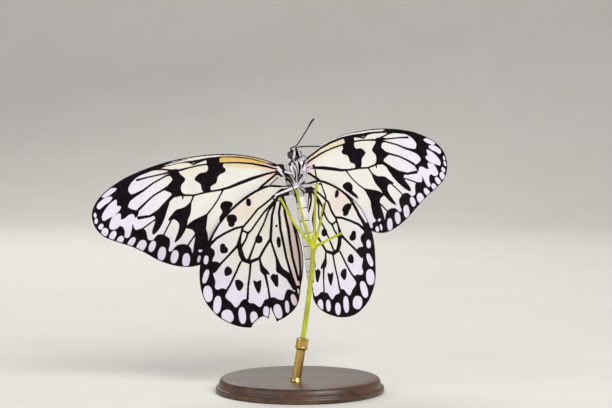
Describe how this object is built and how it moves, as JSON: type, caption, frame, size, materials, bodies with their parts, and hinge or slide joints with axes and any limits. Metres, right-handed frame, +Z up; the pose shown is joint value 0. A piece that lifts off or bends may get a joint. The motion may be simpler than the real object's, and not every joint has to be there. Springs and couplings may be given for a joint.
{
  "type": "paper kite butterfly",
  "caption": "Life-size paper kite butterfly with its wings spread, gripping a short cut flower stalk that a short rod holds up from a round base.",
  "frame": {"origin": "middle of the underside of the round base, on the floor", "axes": "+Z up, +Y the way the picture's camera looks, so the underside of the butterfly faces -Y, +X to the picture's right, across most of the wing span"},
  "size_m": [0.1299, 0.0756, 0.0973],
  "materials": {
    "wing_scales": "matt, finely scaled, slightly translucent",
    "body_scales": "matt, finely furred",
    "dark_cuticle": "satin",
    "eye_facets": "glossy, finely faceted",
    "green_stalk": "smooth, fresh plant stalk",
    "brass_rod": "brushed",
    "dark_wood": "satin varnish"
  },
  "bodies": {
    "root": {"head": "body_scales", "thorax": "body_scales", "abdomen": "body_scales", "eye_left": "eye_facets", "eye_right": "eye_facets", "palp_left": "body_scales", "palp_right": "body_scales", "proboscis": "dark_cuticle", "antenna_left": "dark_cuticle", "antenna_right": "dark_cuticle", "foreleg_left": "body_scales", "foreleg_right": "body_scales", "midleg_left": "body_scales", "midleg_right": "body_scales", "hindleg_left": "body_scales", "hindleg_right": "body_scales", "forewing_left": "wing_scales", "forewing_right": "wing_scales", "hindwing_left": "wing_scales", "hindwing_right": "wing_scales", "perch_stem": "green_stalk", "stand_rod": "brass_rod", "stand_base": "dark_wood"}
  },
  "joints": []
}
